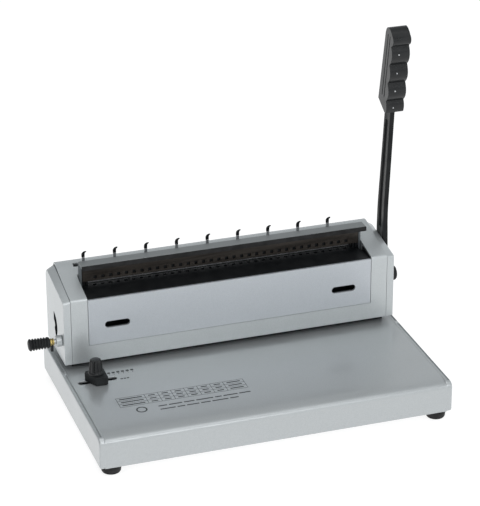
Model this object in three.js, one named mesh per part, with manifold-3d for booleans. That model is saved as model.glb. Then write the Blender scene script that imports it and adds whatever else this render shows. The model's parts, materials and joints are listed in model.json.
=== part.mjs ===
// Lever-operated wire comb punching and binding machine for A4 sheets.
// Millimetres, +Z up, +X to the operator's right, +Y away from the operator.
// The origin is on the table top, under the middle of the whole machine.
import * as THREE from 'three';
import { mergeVertices } from 'three/addons/utils/BufferGeometryUtils.js';
import Module from 'manifold-3d';

const wasm = await Module();
wasm.setup();

// ---- Driving dimensions ----------------------------------------------------------------
const GAP = 0.3; // clearance between touching pieces
const SHEET = 2; // wall of the casings

const HOLE_PITCH = 8.467; // three holes to the inch
const HOLE_COUNT = 34; // along a 297 mm edge
const FIRST_HOLE_X = -((HOLE_COUNT - 1) * HOLE_PITCH) / 2;

const FOOT_HEIGHT = 9;
const FOOT_INSET = 13;
const BASE_WIDTH = 377;
const BASE_DEPTH = 228;
const BASE_TOP = 42;

const HOUSING_HALF = 183;
const HOUSING_FRONT = 39;
const HOUSING_REAR = 112;
const HOUSING_BOTTOM = 48.5;
const TOP_FRONT = 121; // the top of the cover climbs from here
const TOP_CREASE = 127.4; // through here
const TOP_REAR = 137.2; // to here
const CREASE_Y = 71;
const REAR_TOP_Y = 104;
const CAP_INNER = 175; // the end caps start here
const CAP_STEP = 1.8; // an end cap lies this much below the cover where they meet
const CAP_FRONT = 119.5; // outer top edge of an end cap
const CAP_REAR = 130.2;
const THROAT_HALF = 157;
const DECK_Y = 99; // front edge of the deck behind the punch guide
const REAR_SPLIT = 100; // height where the cover meets the rear plate
const TIE_Y = 104; // tie rods between the side frames
const TIE_RODS = [['lower', 58], ['upper', 108]];

const TABLE_TOP = 120;
const WALL_FRONT = 71; // front face of the punch guide
const WALL_BOTTOM = 125.5; // the paper slot lies under it
const WALL_TOP = 144.6;
const PIN_Y = 74;
const PIN_SIZE = 3;

const SHAFT_Y = 82.5;
const SHAFT_Z = 77.5;
const SHAFT_RADIUS = 5;
const CRANK_START = 50; // degrees forward of upright when the lever is at rest
const CLOSER_THROW = 14; // crank radius that drives the closing rail
const PUNCH_THROW = 10; // crank radius that drives the pins

const BAR_INNER = 184; // lever bar, outside the right end cap
const BAR_THICK = 5;
const GRIP_HALF = 10;
const GRIP_LOW = { y: 68, z: 282 };
const GRIP_HIGH = { y: 51.5, z: 373 };

const MARGIN_Y = 50.6; // pull rod on the left side
const MARGIN_Z = 72.3;
const KNOB_REACH = 218.5; // tip of the pull knob, left of the middle
const HUB_REACH = 203.5; // hub cap, right of the middle
const FRAME_SHIFT = (KNOB_REACH - HUB_REACH) / 2;

const SLIDER_X = -158.5;
const SLIDER_Y = 8;
const KNOB_FOOT = 51.5;

// ---- Materials -------------------------------------------------------------------------
const finish = (color, roughness, metalness) =>
  new THREE.MeshStandardMaterial({ color, roughness, metalness });
const SILVER = finish(0xb4b9bd, 0.35, 0.6);
const RAIL_GREY = finish(0x85898c, 0.4, 0.6);
const BRONZE = finish(0x3a302a, 0.5, 0.5);
const BLACK_METAL = finish(0x17181a, 0.45, 0.5);
const BLACK_PLASTIC = finish(0x1b1b1d, 0.6, 0);
const RUBBER = finish(0x141414, 0.85, 0);
const STEEL = finish(0x9a9da0, 0.3, 1);
const BRASS = finish(0xb08d3f, 0.3, 1);

// ---- Solid helpers ---------------------------------------------------------------------
function toSolid(geometry) {
  const bare = geometry.clone();
  bare.deleteAttribute('normal');
  bare.deleteAttribute('uv');
  const merged = mergeVertices(bare, 1e-4);
  const mesh = new wasm.Mesh({
    numProp: 3,
    vertProperties: new Float32Array(merged.attributes.position.array),
    triVerts: new Uint32Array(merged.index.array),
  });
  return new wasm.Manifold(mesh);
}

function toGeometry(solid) {
  const mesh = solid.getMesh();
  const geometry = new THREE.BufferGeometry();
  geometry.setAttribute('position', new THREE.BufferAttribute(mesh.vertProperties, 3));
  geometry.setIndex(new THREE.BufferAttribute(mesh.triVerts, 1));
  geometry.computeVertexNormals();
  return geometry;
}

const unite = (...shapes) => toGeometry(shapes.map(toSolid).reduce((sum, s) => sum.add(s)));
const cut = (shape, ...tools) =>
  toGeometry(tools.map(toSolid).reduce((rest, s) => rest.subtract(s), toSolid(shape)));

function box(x0, x1, y0, y1, z0, z1) {
  const geometry = new THREE.BoxGeometry(x1 - x0, y1 - y0, z1 - z0);
  return geometry.translate((x0 + x1) / 2, (y0 + y1) / 2, (z0 + z1) / 2);
}

function outline(points) {
  return new THREE.Shape(points.map(([a, b]) => new THREE.Vector2(a, b)));
}

// Closed outline whose corners [a, b, radius] are rounded, each with the same number of points.
function rounded(corners, steps = 3) {
  const corner = (i) => corners[(i + corners.length) % corners.length];
  return corners.flatMap(([a, b, radius], i) => {
    const here = new THREE.Vector2(a, b);
    if (!radius) return [here];
    const toward = ([c, d]) => new THREE.Vector2(c, d).sub(here).normalize();
    const back = toward(corner(i - 1));
    const ahead = toward(corner(i + 1));
    const half = Math.acos(back.dot(ahead)) / 2;
    const centre = back.clone().add(ahead).setLength(radius / Math.sin(half)).add(here);
    const reach = radius / Math.tan(half);
    const start = back.multiplyScalar(reach).add(here).sub(centre).angle();
    const end = ahead.multiplyScalar(reach).add(here).sub(centre).angle();
    const turn = Math.atan2(Math.sin(end - start), Math.cos(end - start));
    return [...Array(steps + 1).keys()].map((k) => {
      const angle = start + (turn * k) / steps;
      return new THREE.Vector2(Math.cos(angle), Math.sin(angle)).multiplyScalar(radius).add(centre);
    });
  });
}

function roundedRect(a0, a1, b0, b1, r) {
  const shape = new THREE.Shape();
  shape.moveTo(a0 + r, b0);
  shape.lineTo(a1 - r, b0);
  shape.absarc(a1 - r, b0 + r, r, -Math.PI / 2, 0);
  shape.lineTo(a1, b1 - r);
  shape.absarc(a1 - r, b1 - r, r, 0, Math.PI / 2);
  shape.lineTo(a0 + r, b1);
  shape.absarc(a0 + r, b1 - r, r, Math.PI / 2, Math.PI);
  shape.lineTo(a0, b0 + r);
  shape.absarc(a0 + r, b0 + r, r, Math.PI, 1.5 * Math.PI);
  return shape;
}

const plainExtrude = (shape, depth, curveSegments = 4) =>
  new THREE.ExtrudeGeometry(shape, { depth, bevelEnabled: false, curveSegments });

// The shape is drawn in (y, z) and runs from x0 to x1.
function extrudeX(shape, x0, x1, curveSegments) {
  const axes = new THREE.Matrix4().makeBasis(
    new THREE.Vector3(0, 1, 0), new THREE.Vector3(0, 0, 1), new THREE.Vector3(1, 0, 0));
  return plainExtrude(shape, x1 - x0, curveSegments).applyMatrix4(axes).translate(x0, 0, 0);
}

// The shape is drawn in (x, z) and runs from y0 to y1.
function extrudeY(shape, y0, y1, curveSegments) {
  return plainExtrude(shape, y1 - y0, curveSegments).rotateX(Math.PI / 2).translate(0, y1, 0);
}

// The shape is drawn in (x, y) and runs from z0 to z1.
const extrudeZ = (shape, z0, z1, curveSegments) =>
  plainExtrude(shape, z1 - z0, curveSegments).translate(0, 0, z0);

function rodX(radius, x0, x1, y, z, sides = 24) {
  const geometry = new THREE.CylinderGeometry(radius, radius, x1 - x0, sides);
  return geometry.rotateZ(Math.PI / 2).translate((x0 + x1) / 2, y, z);
}

function ringX(outer, inner, x0, x1, y, z, sides = 24) {
  const profile = [[inner, 0], [outer, 0], [outer, x1 - x0], [inner, x1 - x0], [inner, 0]];
  const points = profile.map(([r, h]) => new THREE.Vector2(r, h));
  return new THREE.LatheGeometry(points, sides).rotateZ(-Math.PI / 2).translate(x0, y, z);
}

// A solid between two outlines with the same number of points, drawn in (y, z), at x0 < x1.
function loftX(near, x0, far, x1) {
  const count = near.length;
  const at = (points, x) => points.flatMap((p) => [x, p.x, p.y]);
  const index = THREE.ShapeUtils.triangulateShape(near, [])
    .flatMap(([a, b, c]) => [a, c, b, a + count, b + count, c + count]);
  for (let i = 0; i < count; i += 1) {
    const j = (i + 1) % count;
    index.push(i, j, j + count, i, j + count, i + count);
  }
  const geometry = new THREE.BufferGeometry();
  const positions = new Float32Array([...at(near, x0), ...at(far, x1)]);
  geometry.setAttribute('position', new THREE.BufferAttribute(positions, 3));
  geometry.setIndex(index);
  return geometry;
}

const machine = new THREE.Group();

function place(name, geometry, material) {
  const mesh = new THREE.Mesh(geometry, material);
  mesh.name = name;
  machine.add(mesh);
}

const bothSides = (build) => [['left', -1], ['right', 1]].forEach(([side, s]) => build(side, s));
// Low and high x of a piece that lies between two distances from the middle, on side s.
const span = (s, near, far) => (s > 0 ? [near, far] : [-far, -near]);
const forward = (degrees, radius) => {
  const angle = THREE.MathUtils.degToRad(degrees);
  return { y: SHAFT_Y - radius * Math.sin(angle), z: SHAFT_Z + radius * Math.cos(angle) };
};

// ---- Base ------------------------------------------------------------------------------
function basePan() {
  const halfX = BASE_WIDTH / 2;
  const halfY = BASE_DEPTH / 2;
  const edge = 6;
  const corner = roundedRect(-halfX + edge, halfX - edge, -halfY + edge, halfY - edge, 1.5);
  const block = new THREE.ExtrudeGeometry(corner, {
    depth: BASE_TOP - FOOT_HEIGHT,
    bevelThickness: edge,
    bevelSize: edge,
    bevelSegments: 3,
    curveSegments: 2,
  }).translate(0, 0, FOOT_HEIGHT - edge);
  const below = box(-halfX - 1, halfX + 1, -halfY - 1, halfY + 1, -edge, FOOT_HEIGHT);
  const inside = box(-halfX + SHEET, halfX - SHEET, -halfY + SHEET, halfY - SHEET,
    FOOT_HEIGHT - 1, BASE_TOP - edge);
  const crown = box(-halfX + edge, halfX - edge, -halfY + edge, halfY - edge,
    BASE_TOP - edge - 1, BASE_TOP - SHEET);
  const slot = extrudeZ(roundedRect(-177.5, -136.5, SLIDER_Y - 3.4, SLIDER_Y + 3.4, 3.3),
    BASE_TOP - 4, BASE_TOP + 1);
  return cut(block, below, inside, crown, slot);
}

function foot(x, y) {
  const profile = [[0, 0], [7.5, 0], [9, 1.5], [10, FOOT_HEIGHT - 0.1], [0, FOOT_HEIGHT - 0.1]];
  const points = profile.map(([r, h]) => new THREE.Vector2(r, h));
  return new THREE.LatheGeometry(points, 20).rotateX(Math.PI / 2).translate(x, y, 0);
}

place('base_pan', basePan(), SILVER);
place('base_plate', box(-186.2, 186.2, -111.7, 111.7, FOOT_HEIGHT + 0.2, FOOT_HEIGHT + 1.7), STEEL);
bothSides((side, s) => {
  const x = s * (BASE_WIDTH / 2 - FOOT_INSET);
  const y = BASE_DEPTH / 2 - FOOT_INSET;
  place(`foot_front_${side}`, foot(x, -y), RUBBER);
  place(`foot_rear_${side}`, foot(x, y), RUBBER);
});
place('plinth', box(-174, 174, 47, 106, BASE_TOP + GAP, HOUSING_BOTTOM - GAP), BLACK_PLASTIC);

// ---- Housing ---------------------------------------------------------------------------
// Side view of the housing, drawn in (y, z). With an inset it is the inner face of the wall.
const housingOutline = (inset, bottom) => rounded([
  [HOUSING_FRONT + inset, bottom, 0],
  [HOUSING_REAR - inset, bottom, 0],
  [HOUSING_REAR - inset, TOP_REAR + 1.5 - inset, 8 - inset],
  [REAR_TOP_Y - 12, TOP_REAR - 3.4 - inset, 0],
  [CREASE_Y, TOP_CREASE - inset, 0],
  [HOUSING_FRONT + inset, TOP_FRONT - inset, 2.5 - inset / 2],
]);

// Side view of an end cap where it meets the cover and, lower, at its outer face.
const capOutline = (front, rear, inset, bottom) => rounded([
  [HOUSING_FRONT + inset, bottom, 0],
  [HOUSING_REAR - inset, bottom, 0],
  [HOUSING_REAR - inset, rear - inset, 8 - inset],
  [HOUSING_FRONT + inset, front - inset, 2.5 - inset / 2],
]);

function towerShell(s) {
  const [x0, x1] = span(s, THROAT_HALF, CAP_INNER - 0.1);
  const [i0, i1] = span(s, THROAT_HALF + SHEET, CAP_INNER + 1);
  const outer = extrudeX(new THREE.Shape(housingOutline(0, HOUSING_BOTTOM)), x0, x1);
  const inner = extrudeX(new THREE.Shape(housingOutline(SHEET, HOUSING_BOTTOM - 1)), i0, i1);
  const rearOpening = box(x0 - 1, x1 + 1, HOUSING_REAR - 2.3, HOUSING_REAR + 1,
    HOUSING_BOTTOM - 1, REAR_SPLIT);
  const shaftHole = rodX(SHAFT_RADIUS + 2, x0 - 1, x1 + 1, SHAFT_Y, SHAFT_Z);
  const chassisGap = box(x0 - 1, x1 + 1, 42, HOUSING_REAR + 1, HOUSING_BOTTOM - 1, 51.1);
  const tieHoles = TIE_RODS.map(([, z]) => rodX(3.2, x0 - 1, x1 + 1, TIE_Y, z, 12));
  return cut(outer, inner, rearOpening, shaftHole, chassisGap, ...tieHoles);
}

// Part of the cover's top between two distances from the front, open below.
function topStrip(x0, x1, y0, y1) {
  const outer = extrudeX(new THREE.Shape(housingOutline(0, HOUSING_BOTTOM)), x0, x1);
  const inner = extrudeX(new THREE.Shape(housingOutline(SHEET, HOUSING_BOTTOM - 1)), x0 - 1, x1 + 1);
  const ahead = box(x0 - 1, x1 + 1, HOUSING_FRONT - 1, y0, 0, TOP_REAR + 5);
  const beyond = box(x0 - 1, x1 + 1, y1, HOUSING_REAR + 2, 0, TOP_REAR + 5);
  const below = box(x0 - 1, x1 + 1, y0 - 1, HOUSING_REAR + 1, 0, REAR_SPLIT);
  return cut(outer, inner, ahead, beyond, below);
}

// The deck joins the two towers behind the punch guide and turns down over the back. In front
// of it each tower reaches in behind the arm of the closing rail.
function mainCover() {
  const fascia = box(-THROAT_HALF - 1, THROAT_HALF + 1, HOUSING_FRONT, HOUSING_FRONT + SHEET,
    HOUSING_BOTTOM, 67.2);
  const deck = topStrip(-THROAT_HALF - 1, THROAT_HALF + 1, DECK_Y, HOUSING_REAR + 1);
  const shoulders = [-1, 1].map((s) => topStrip(...span(s, 148, THROAT_HALF + 1), 80.8, 93));
  return unite(towerShell(-1), towerShell(1), deck, ...shoulders, fascia);
}

// A curved slot round the shaft, from straight above it to below it at the front.
function arcSlot(x0, x1) {
  const inner = 4.2;
  const outer = 14.4;
  const shape = new THREE.Shape();
  const top = Math.PI / 2;
  const low = top + THREE.MathUtils.degToRad(153);
  shape.absarc(SHAFT_Y, SHAFT_Z, outer, top, low);
  shape.absarc(SHAFT_Y, SHAFT_Z, inner, low, top, true);
  return extrudeX(shape, x0, x1, 12);
}

function endCap(s) {
  const [x0, x1] = span(s, CAP_INNER + 0.2, HOUSING_HALF);
  const [i0, i1] = span(s, CAP_INNER - 1, HOUSING_HALF - SHEET);
  const [w0, w1] = span(s, HOUSING_HALF - SHEET - 1, HOUSING_HALF + 1);
  const meeting = capOutline(TOP_FRONT - CAP_STEP / 2, TOP_REAR - CAP_STEP, 0, HOUSING_BOTTOM);
  const outside = capOutline(CAP_FRONT, CAP_REAR, 0, HOUSING_BOTTOM);
  const shell = s < 0 ? loftX(outside, x0, meeting, x1) : loftX(meeting, x0, outside, x1);
  const hollow = new THREE.Shape(capOutline(CAP_FRONT, CAP_REAR, SHEET, HOUSING_BOTTOM + SHEET));
  const openings = s < 0
    ? [arcSlot(w0, w1), rodX(18, -HOUSING_HALF + 0.8, w1, SHAFT_Y, SHAFT_Z),
      rodX(3, w0, w1, MARGIN_Y, MARGIN_Z)]
    : [rodX(SHAFT_RADIUS + 1, w0, w1, SHAFT_Y, SHAFT_Z)];
  return cut(shell, extrudeX(hollow, i0, i1), ...openings);
}

// Flat plates: one closes the back, the other covers the works between deck and die plate.
const rearPlate = () => box(-CAP_INNER + 0.3, CAP_INNER - 0.3, HOUSING_REAR - SHEET, HOUSING_REAR,
  HOUSING_BOTTOM, REAR_SPLIT - GAP);
const innerGuard = () => box(-THROAT_HALF + 0.4, THROAT_HALF - 0.4, 84.4, 109.5, 113.7, 115.2);

place('main_cover', mainCover(), SILVER);
place('left_end_cap', endCap(-1), SILVER);
place('right_end_cap', endCap(1), SILVER);
place('rear_cover', rearPlate(), SILVER);
place('inner_guard', innerGuard(), BLACK_METAL);
place('chassis_plate', box(-173, 173, 43, 108, HOUSING_BOTTOM + GAP, HOUSING_BOTTOM + 2.3), STEEL);

bothSides((side, s) => {
  const [f0, f1] = span(s, 159.6, 162);
  const plate = box(f0, f1, 44, 108, 51.1, 116.5);
  place(`side_frame_${side}`, cut(plate, rodX(8.3, f0 - 1, f1 + 1, SHAFT_Y, SHAFT_Z)), STEEL);
  const [b0, b1] = span(s, 159.4, 167);
  place(`shaft_bush_${side}`, ringX(8, SHAFT_RADIUS + 0.08, b0, b1, SHAFT_Y, SHAFT_Z), BRASS);
});
TIE_RODS.forEach(([level, z]) =>
  place(`tie_rod_${level}`, rodX(2.5, -159.3, 159.3, TIE_Y, z, 12), STEEL));

// ---- Throat, die and punch guide -------------------------------------------------------
const holeX = (i) => FIRST_HOLE_X + i * HOLE_PITCH;
const holeNumbers = [...Array(HOLE_COUNT).keys()];

// Square holes at every punching place, as one cutting tool each.
const squareHoles = (size, y0, y1, z0, z1) =>
  holeNumbers.map((i) => box(holeX(i) - size / 2, holeX(i) + size / 2, y0, y1, z0, z1));

function diePlate() {
  const blank = box(-153.4, 153.4, WALL_FRONT, 84, 115, TABLE_TOP - 0.4);
  const slots = [-1, 1].map((s) => box(...span(s, 147.1, 150.3), 71.6, 76.4, 114, 121));
  return cut(blank, ...squareHoles(PIN_SIZE + 0.8, PIN_Y - 1.9, PIN_Y + 1.9, 114, 121), ...slots);
}

function guideFrontPlate() {
  const blank = box(-153.4, 153.4, WALL_FRONT, WALL_FRONT + 1.2, WALL_BOTTOM, WALL_TOP);
  return cut(blank, ...squareHoles(3.6, WALL_FRONT - 1, WALL_FRONT + 2, 127.8, 131.4));
}

function guideRearPlate() {
  const plate = box(-153.4, 153.4, 75.8, 77, WALL_BOTTOM, WALL_TOP);
  const ends = [-1, 1].map((s) => box(...span(s, 150.8, 153.4), WALL_FRONT + 1.5, 77, TABLE_TOP, WALL_TOP));
  return unite(plate, ...ends);
}

// The table turns up at both ends, against the towers.
function throatTable() {
  const half = THROAT_HALF - 0.4;
  const table = extrudeZ(outline([
    [-half, 41.8], [half, 41.8], [half, 63.3], [153.6, 63.3], [153.6, WALL_FRONT - GAP],
    [-153.6, WALL_FRONT - GAP], [-153.6, 63.3], [-half, 63.3],
  ]), TABLE_TOP - 2.5, TABLE_TOP);
  const flange = outline([[41.8, TABLE_TOP - 2], [63.3, TABLE_TOP - 2], [63.3, 124.4], [41.8, 120.9]]);
  const flanges = [-1, 1].map((s) => extrudeX(flange, ...span(s, half - 1, half)));
  return unite(table, ...flanges);
}

place('throat_table', throatTable(), BLACK_METAL);
place('die_plate', diePlate(), BLACK_METAL);
place('guide_front_plate', guideFrontPlate(), BRONZE);
place('guide_rear_plate', guideRearPlate(), BLACK_METAL);
place('margin_stop', box(-146, 146, 79.5, 82.5, TABLE_TOP, WALL_BOTTOM - GAP), STEEL);

// ---- Wire hanging hooks ----------------------------------------------------------------
const HOOK_COUNT = 9;
const HOOK_PITCH = 4 * HOLE_PITCH;
const FIRST_HOOK_X = -149.6;

// An angle: it closes the top of the punch guide and its flange stands behind the rear plate.
function hookBar() {
  const flange = box(-153.4, 153.4, 77.3, 78.6, WALL_BOTTOM, WALL_TOP + 1);
  const top = box(-153.4, 153.4, WALL_FRONT, 78.6, WALL_TOP + GAP, WALL_TOP + 1.6);
  return unite(flange, top);
}

// A flat claw that bends over towards the right, drawn in (x, z).
function hook(x) {
  const claw = new THREE.Shape();
  claw.moveTo(x - 1.9, 136);
  claw.lineTo(x + 1.7, 136);
  claw.lineTo(x + 1.6, 151.5);
  claw.quadraticCurveTo(x + 1.4, 154.2, x + 3.6, 155.6);
  claw.lineTo(x + 3.2, 156.4);
  claw.quadraticCurveTo(x - 1.7, 155.8, x - 1.9, 151);
  return extrudeY(claw, 78.9, 80.5, 5);
}

place('hook_bar', hookBar(), RAIL_GREY);
[...Array(HOOK_COUNT).keys()].forEach((i) =>
  place(`hook_${i + 1}`, hook(FIRST_HOOK_X + i * HOOK_PITCH), BLACK_METAL));

// ---- Chip drawer -----------------------------------------------------------------------
// Two finger slots go through the panel and the front wall of the tray behind it.
const fingerSlots = () => [-1, 1].map((s) =>
  extrudeY(roundedRect(...span(s, 112, 139), 85, 92.4, 3.6), HOUSING_FRONT - 1, 45));

function chipDrawer() {
  const tray = box(-146.4, 146.4, 41.8, 77.1, 69, 112);
  return cut(tray, box(-144.8, 144.8, 43.4, 75.5, 70.6, 113), ...fingerSlots());
}

function drawerFront() {
  const half = THROAT_HALF - 0.5;
  const panel = box(-half, half, HOUSING_FRONT, HOUSING_FRONT + 2.5, 67.5, 119.3);
  return cut(panel, ...fingerSlots());
}

place('chip_drawer', chipDrawer(), BLACK_PLASTIC);
place('drawer_front', drawerFront(), SILVER);

// ---- Lever, main shaft and cranks ------------------------------------------------------
// Front and rear edge of the lever bar at some heights: it rises straight, then leans forward.
const BAR_STATIONS = [
  { z: SHAFT_Z, front: 71.5, rear: 93.5 },
  { z: 118, front: 72.6, rear: 93.4 },
  { z: 155, front: 74.2, rear: 92.4 },
  { z: 205, front: 69.9, rear: 86.4 },
  { z: 276, front: 62.8, rear: 78 },
];

function leverArm() {
  const edge = (side) =>
    new THREE.SplineCurve(BAR_STATIONS.map((p) => new THREE.Vector2(p[side], p.z))).getPoints(14);
  const low = new THREE.Vector2(GRIP_LOW.y, GRIP_LOW.z);
  const high = new THREE.Vector2(GRIP_HIGH.y, GRIP_HIGH.z);
  const along = high.clone().sub(low).normalize();
  const aside = new THREE.Vector2(along.y, -along.x).multiplyScalar(6);
  const start = low.clone().sub(along.clone().multiplyScalar(3));
  const end = high.clone().sub(along.clone().multiplyScalar(20));
  const shape = new THREE.Shape([
    ...edge('rear'), start.clone().add(aside), end.clone().add(aside),
    end.clone().sub(aside), start.clone().sub(aside), ...edge('front').reverse(),
  ]);
  const bar = extrudeX(shape, BAR_INNER, BAR_INNER + BAR_THICK);
  const eye = rodX(14, BAR_INNER, BAR_INNER + BAR_THICK, SHAFT_Y, SHAFT_Z, 32);
  const bore = rodX(SHAFT_RADIUS + GAP, BAR_INNER - 1, BAR_INNER + BAR_THICK + 1, SHAFT_Y, SHAFT_Z);
  return cut(unite(bar, eye), bore);
}

// The grip is drawn with its own axis upright and then leaned forward. Four pads bulge to the
// front, and the whole tapers towards its top.
function leverGrip() {
  const lean = Math.atan2(GRIP_LOW.y - GRIP_HIGH.y, GRIP_HIGH.z - GRIP_LOW.z);
  const length = Math.hypot(GRIP_LOW.y - GRIP_HIGH.y, GRIP_HIGH.z - GRIP_LOW.z);
  const valley = (z) => -9.8 + (1.8 * z) / length;
  const bulge = 5.6;
  const shape = new THREE.Shape();
  shape.moveTo(12, 3);
  shape.lineTo(-8, -1.2);
  shape.lineTo(-11.4, 0);
  shape.quadraticCurveTo(-12.6, 10, valley(15.5), 15.5);
  for (let i = 0; i < 3; i += 1) {
    const z = 15.5 + 20 * i;
    shape.quadraticCurveTo(valley(z + 10) - bulge, z + 10, valley(z + 20), z + 20);
  }
  shape.quadraticCurveTo(-10.5, 78, -11.2, 84);
  shape.quadraticCurveTo(-10.4, 89, -3.5, length);
  shape.lineTo(2.5, length);
  shape.quadraticCurveTo(9.6, length - 0.5, 10.2, length - 8);
  const centre = BAR_INNER + BAR_THICK / 2;
  const body = new THREE.ExtrudeGeometry(shape, {
    depth: 2 * GRIP_HALF - 5,
    bevelThickness: 2.5,
    bevelSize: 2.5,
    bevelOffset: -2.5,
    bevelSegments: 2,
    curveSegments: 4,
  });
  const axes = new THREE.Matrix4().makeBasis(
    new THREE.Vector3(0, 1, 0), new THREE.Vector3(0, 0, 1), new THREE.Vector3(1, 0, 0));
  body.applyMatrix4(axes).translate(centre - GRIP_HALF + 2.5, 0, 0);
  const socket = box(BAR_INNER - GAP, BAR_INNER + BAR_THICK + GAP, -6.4, 6.4, -4, length - 19);
  return cut(body, socket).rotateX(lean).translate(0, GRIP_LOW.y, GRIP_LOW.z);
}

// A web with one pin each side: the outer pin drives the closer, the inner one the punches.
function crank(s) {
  const [w0, w1] = span(s, 150.5, 153.4);
  const outerPin = forward(CRANK_START, CLOSER_THROW);
  const innerPin = forward(CRANK_START, PUNCH_THROW);
  const web = rodX(19, w0, w1, SHAFT_Y, SHAFT_Z, 32);
  const outer = rodX(3, ...span(s, 153, 156.4), outerPin.y, outerPin.z, 16);
  const inner = rodX(2.4, ...span(s, 147.4, 151), innerPin.y, innerPin.z, 16);
  const bore = rodX(SHAFT_RADIUS + GAP, w0 - 1, w1 + 1, SHAFT_Y, SHAFT_Z);
  return cut(unite(web, outer, inner), bore);
}

// The disc behind the arc slot carries the pin that stops the lever at both ends.
function stopDisc() {
  const disc = ringX(17, SHAFT_RADIUS + GAP, -178.5, -176.2, SHAFT_Y, SHAFT_Z, 32);
  const pin = forward(37, 11);
  return unite(disc, rodX(2.6, -182.6, -178, pin.y, pin.z, 16));
}

// Torsion spring: a helix round the shaft.
function torsionSpring(s) {
  const turns = 3;
  const points = [];
  for (let i = 0; i <= turns * 12; i += 1) {
    const angle = (i / 12) * 2 * Math.PI;
    points.push(new THREE.Vector3(
      s * (168.4 + (i / 12) * 1.8), SHAFT_Y + 7.4 * Math.cos(angle), SHAFT_Z + 7.4 * Math.sin(angle)));
  }
  const wire = new THREE.Shape();
  wire.absarc(0, 0, 0.7, 0, 2 * Math.PI);
  return new THREE.ExtrudeGeometry(wire, {
    steps: turns * 12,
    extrudePath: new THREE.CatmullRomCurve3(points),
    curveSegments: 3,
  });
}

function hubCap() {
  const profile = [[0, 0], [8.4, 0], [8.4, 3.4], [7.2, 5.4], [4, 6.2], [0, 6.2]];
  const points = profile.map(([r, h]) => new THREE.Vector2(r, h));
  const cap = new THREE.LatheGeometry(points, 24);
  return cap.rotateZ(-Math.PI / 2).translate(HUB_REACH - 6.2, SHAFT_Y, SHAFT_Z);
}

place('main_shaft', rodX(SHAFT_RADIUS, -180.5, 197, SHAFT_Y, SHAFT_Z), STEEL);
place('lever_arm', leverArm(), BLACK_METAL);
place('lever_grip', leverGrip(), BLACK_PLASTIC);
place('lever_hub', ringX(11.5, SHAFT_RADIUS + GAP, 189.3, 197, SHAFT_Y, SHAFT_Z), BLACK_METAL);
place('hub_cap', hubCap(), BLACK_PLASTIC);
place('stop_disc', stopDisc(), BLACK_METAL);
bothSides((side, s) => {
  place(`crank_${side}`, crank(s), STEEL);
  place(`return_spring_${side}`, torsionSpring(s), STEEL);
});

// ---- Closing rail ----------------------------------------------------------------------
const RAIL_HALF = 157.3;
const RAIL_BOTTOM = 146.6;
const RAIL_TOP = 150;
const RAIL_FRONT = 56.2;
const LIP_THICK = 1.3;

// A flat arm with a fork at its foot, open to the rear, that the crank pin slides in.
function closerArm(s) {
  const pin = forward(CRANK_START, CLOSER_THROW);
  const half = 3.6;
  return extrudeX(outline([
    [64, RAIL_BOTTOM - GAP], [64, 144], [70.8, 141], [70.8, 102], [61.5, 95], [61.5, pin.z - 8],
    [77, pin.z - 8], [77, pin.z - half], [65, pin.z - half], [65, pin.z + half],
    [77, pin.z + half], [77, RAIL_BOTTOM - GAP],
  ]), ...span(s, 154, 156.4));
}

place('closer_rail', box(-RAIL_HALF, RAIL_HALF, RAIL_FRONT + LIP_THICK + GAP, 70.7,
  RAIL_BOTTOM, RAIL_TOP), RAIL_GREY);
place('closer_lip', box(-RAIL_HALF, RAIL_HALF, RAIL_FRONT, RAIL_FRONT + LIP_THICK,
  RAIL_BOTTOM - 1.6, RAIL_TOP - 0.1), RUBBER);
place('closer_skirt', box(-153.4, 153.4, 69.5, 70.7, 140.6, RAIL_BOTTOM - GAP), BRONZE);
bothSides((side, s) => place(`closer_arm_${side}`, closerArm(s), RAIL_GREY));

// ---- Punch pins ------------------------------------------------------------------------
// One comb: the bar, its pins, and at each end a lug with a fork for the inner crank pin.
function pinBar() {
  const y0 = PIN_Y - PIN_SIZE / 2;
  const y1 = PIN_Y + PIN_SIZE / 2;
  const barLow = 140.5;
  const barTop = WALL_TOP - 0.1;
  const tip = 126.3;
  const points = [[-149.8, barLow], [-149.8, barTop], [149.8, barTop], [149.8, barLow]];
  for (let i = HOLE_COUNT - 1; i >= 0; i -= 1) {
    const right = holeX(i) + PIN_SIZE / 2;
    const left = holeX(i) - PIN_SIZE / 2;
    points.push([right, barLow], [right, tip], [left, tip], [left, barLow]);
  }
  const pin = forward(CRANK_START, PUNCH_THROW);
  const half = 2.9;
  const lug = outline([
    [y0, 143], [y0, 95], [66.5, 91], [66.5, pin.z - 6], [77, pin.z - 6], [77, pin.z - half],
    [69.5, pin.z - half], [69.5, pin.z + half], [77, pin.z + half], [77, 91], [y1, 95], [y1, 143],
  ]);
  const lugs = [-1, 1].map((s) => extrudeX(lug, ...span(s, 147.5, 149.8)));
  return unite(extrudeY(outline(points), y0, y1), ...lugs);
}

place('pin_bar', pinBar(), BLACK_METAL);

// ---- Margin pull -----------------------------------------------------------------------
function marginGrip() {
  const ribs = 7;
  const length = 22.4;
  const points = [new THREE.Vector2(0, 0)];
  for (let i = 0; i < ribs; i += 1) {
    const start = (i * length) / ribs;
    const radius = i === ribs - 1 ? 5.9 : 6.5;
    points.push(new THREE.Vector2(radius - 1.1, start), new THREE.Vector2(radius, start + 0.8));
    points.push(new THREE.Vector2(radius, start + 2.3));
  }
  points.push(new THREE.Vector2(4.6, length), new THREE.Vector2(0, length));
  const grip = new THREE.LatheGeometry(points, 20);
  return grip.rotateZ(Math.PI / 2).translate(-KNOB_REACH + length, MARGIN_Y, MARGIN_Z);
}

place('margin_boss', ringX(5.5, 2.9, -191, -HOUSING_HALF - GAP, MARGIN_Y, MARGIN_Z), SILVER);
place('margin_rod', rodX(2.4, -191.2, -164, MARGIN_Y, MARGIN_Z, 16), STEEL);
place('margin_collar', rodX(3.4, -195.8, -191.5, MARGIN_Y, MARGIN_Z, 16), BRASS);
place('margin_grip', marginGrip(), BLACK_PLASTIC);

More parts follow.
